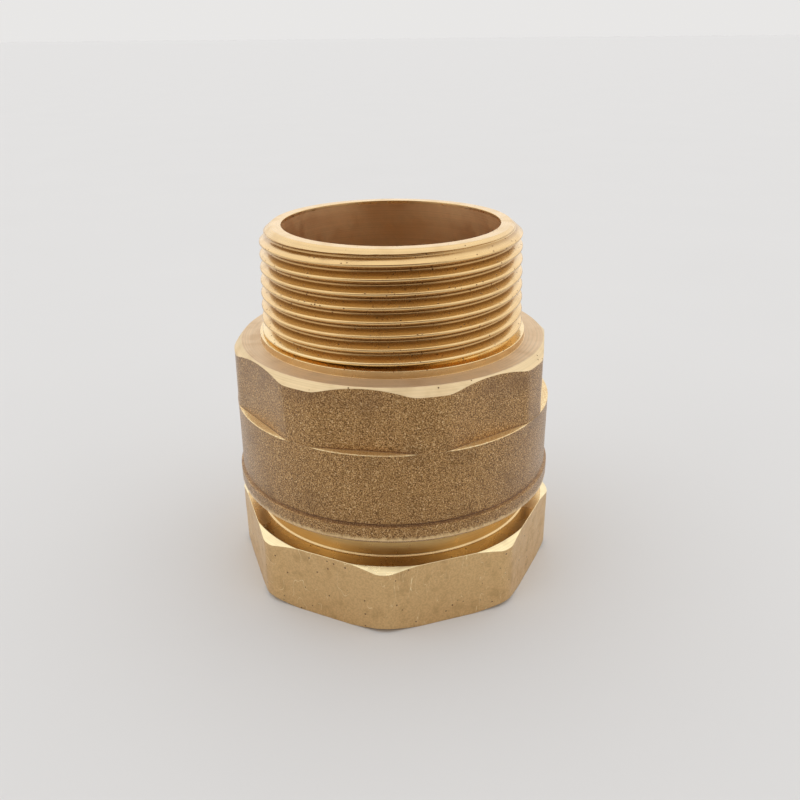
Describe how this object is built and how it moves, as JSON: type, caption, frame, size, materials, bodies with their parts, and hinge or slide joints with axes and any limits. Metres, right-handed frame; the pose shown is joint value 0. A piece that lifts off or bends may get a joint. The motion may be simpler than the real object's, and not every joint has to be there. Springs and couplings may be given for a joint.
{
  "type": "pipe union",
  "caption": "Brass compression pipe union: hollow octagonal body with a tapered male thread, closed by an octagonal gland nut over a rubber seal and a split grip ring.",
  "frame": {"origin": "centre of the gland nut's flat lower face, on the union's axis", "axes": "+Z along the axis from the gland nut to the tapered thread's end; -Y is the side drawn as the front"},
  "size_m": [0.062, 0.062, 0.0666],
  "materials": {
    "cast_brass": "shot-blasted casting with turned thread, shoulder and bore",
    "forged_brass": "smooth pitted flats, turned faces and neck",
    "turned_brass": "turned",
    "rubber": "moulded, matt black"
  },
  "bodies": {
    "nut": {"gland_nut": "forged_brass"},
    "thrust": {"grip_ring": "turned_brass", "thrust_washer": "turned_brass"},
    "body": {"fitting_body": "cast_brass", "seal_ring": "rubber"}
  },
  "joints": [
    {"name": "screw_turn", "type": "hinge", "parent": "nut", "child": "thrust", "pos_m": [0, 0, 0.01], "axis": [0, 0, 1], "range_deg": [-540, 1440]},
    {"name": "screw_travel", "type": "slide", "parent": "thrust", "child": "body", "axis": [0, 0, 1], "range_m": [-0.00226, 0.00605]}
  ],
  "couplings": [
    {"joint": "screw_travel", "follows": "screw_turn", "m_per_rad": 0.00023873}
  ]
}
